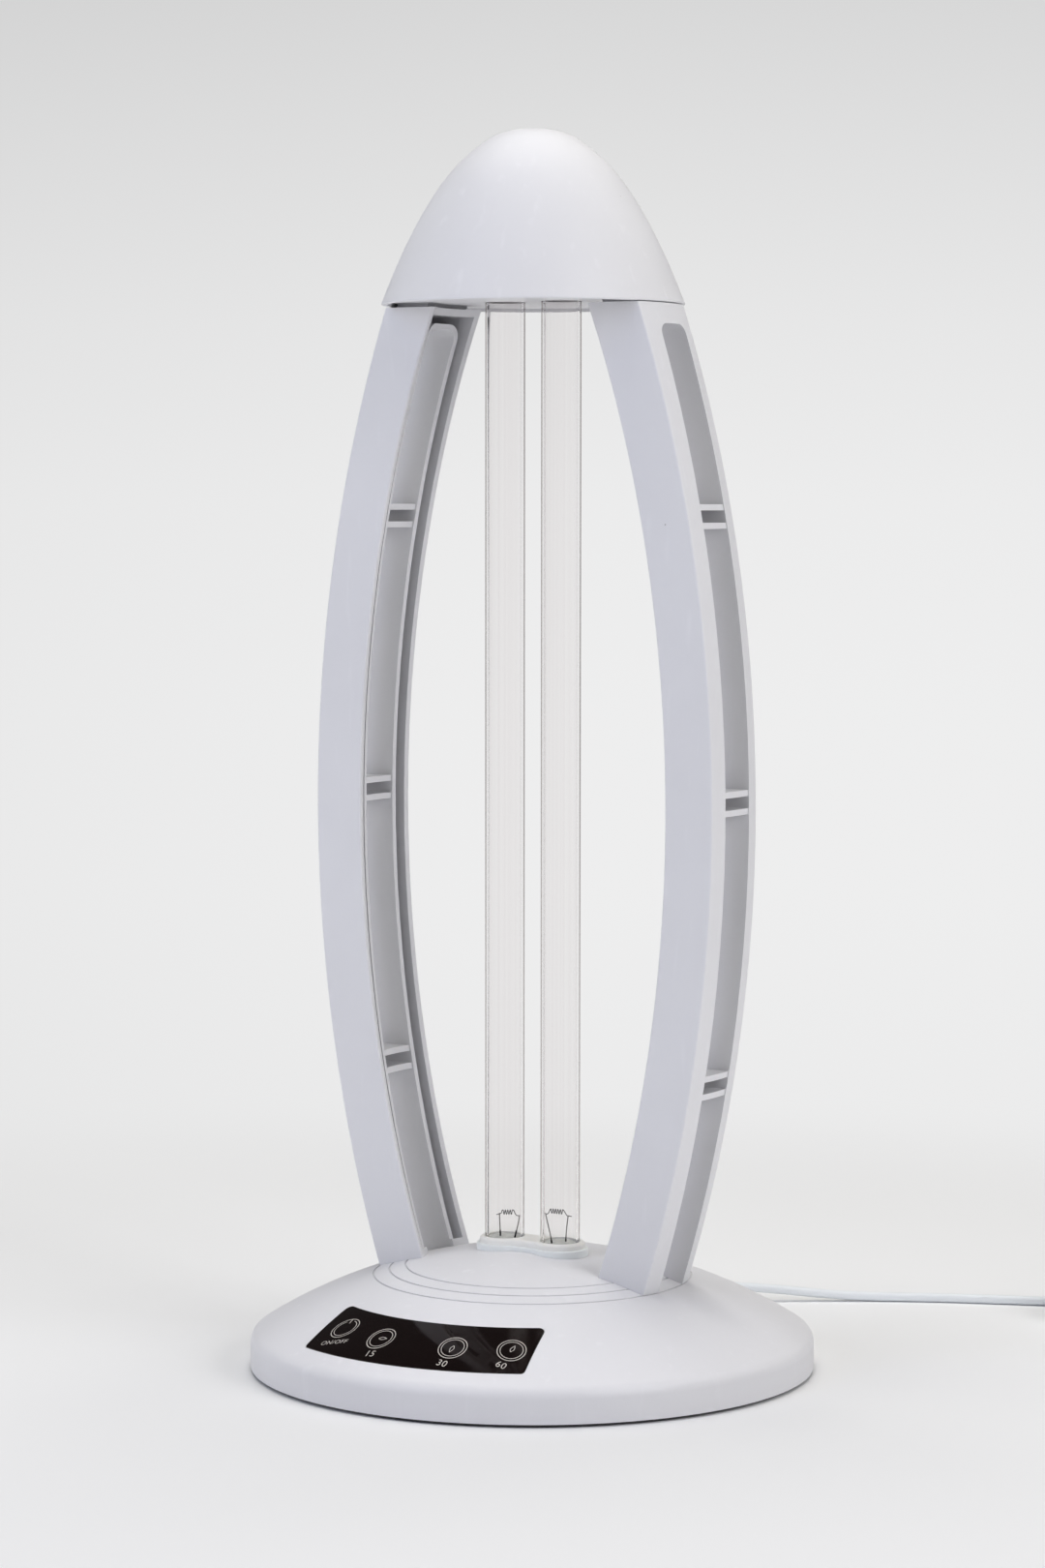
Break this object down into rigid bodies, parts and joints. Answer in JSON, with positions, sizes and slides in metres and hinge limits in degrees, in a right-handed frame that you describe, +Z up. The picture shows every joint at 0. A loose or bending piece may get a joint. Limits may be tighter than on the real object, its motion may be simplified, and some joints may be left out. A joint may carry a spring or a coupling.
{
  "type": "table-top germicidal lamp",
  "caption": "Table-top germicidal lamp: a domed base with a touch panel, bowed columns, a dome cap and an upright twin-limb quartz tube on a mains cord.",
  "frame": {"origin": "centre of the round base on the table plane, under the feet", "axes": "+Z up the lamp's axis; -Y towards the touch panel; +Y towards the cord; the two columns stand on the X axis"},
  "size_m": [0.3149, 0.3064, 0.436],
  "materials": {
    "white_abs": "white moulded ABS with a satin face",
    "cover_abs": "dark moulded ABS, fine spark texture",
    "foot_rubber": "soft black rubber",
    "screw_steel": "zinc-plated steel",
    "panel_gloss": "polished black lens with printed marks",
    "sensor_film": "amber flexible circuit",
    "flat_cable": "grey ribbon",
    "pad_silicone": "translucent white silicone",
    "quartz_glass": "clear fused quartz",
    "lead_nickel": "nickel wire",
    "tungsten": "coiled tungsten wire",
    "holder_cream": "cream moulded lamp base",
    "gasket_blue": "pale blue silicone",
    "clamp_steel": "stamped plated steel",
    "pin_brass": "turned brass",
    "socket_ceramic": "off-white ceramic",
    "lead_white": "white wire insulation",
    "board_green": "green solder mask on glass-fibre board",
    "ferrite": "bare ferrite",
    "winding_copper": "yellow winding tape",
    "capacitor_sleeve": "shrunk black sleeve",
    "film_capacitor": "yellow resin case",
    "relay_case": "blue moulded case",
    "buzzer_case": "black moulded case",
    "terminal_case": "green moulded case",
    "lead_brown": "brown wire insulation",
    "cord_pvc": "white PVC",
    "plug_pvc": "white moulded PVC",
    "plug_nickel": "nickel-plated pins"
  },
  "bodies": {
    "root": {"base_shell": "white_abs", "base_cover": "cover_abs", "rubber_feet": "foot_rubber", "cover_screws": "screw_steel", "touch_panel": "panel_gloss", "touch_film": "sensor_film", "panel_cable": "flat_cable", "column_right": "white_abs", "column_left": "white_abs", "column_screws": "screw_steel", "cap_dome": "white_abs", "cap_plate": "white_abs", "plate_screws": "screw_steel", "tube_pad": "pad_silicone", "quartz_tube": "quartz_glass", "filament_leads": "lead_nickel", "filament_coils": "tungsten", "lamp_holder": "holder_cream", "holder_gasket": "gasket_blue", "holder_clamp": "clamp_steel", "clamp_screws": "screw_steel", "contact_pins": "pin_brass", "lamp_socket": "socket_ceramic", "lamp_leads": "lead_white", "driver_board": "board_green", "board_screws": "screw_steel", "choke_core": "ferrite", "choke_winding": "winding_copper", "electrolytic_capacitors": "capacitor_sleeve", "film_capacitors": "film_capacitor", "relay": "relay_case", "buzzer": "buzzer_case", "terminal_block": "terminal_case", "mains_leads": "lead_brown", "cord_gland": "cord_pvc", "power_cord": "cord_pvc", "cord_coil": "cord_pvc", "cord_tail": "cord_pvc", "plug_body": "plug_pvc", "plug_pins": "plug_nickel"}
  },
  "joints": []
}
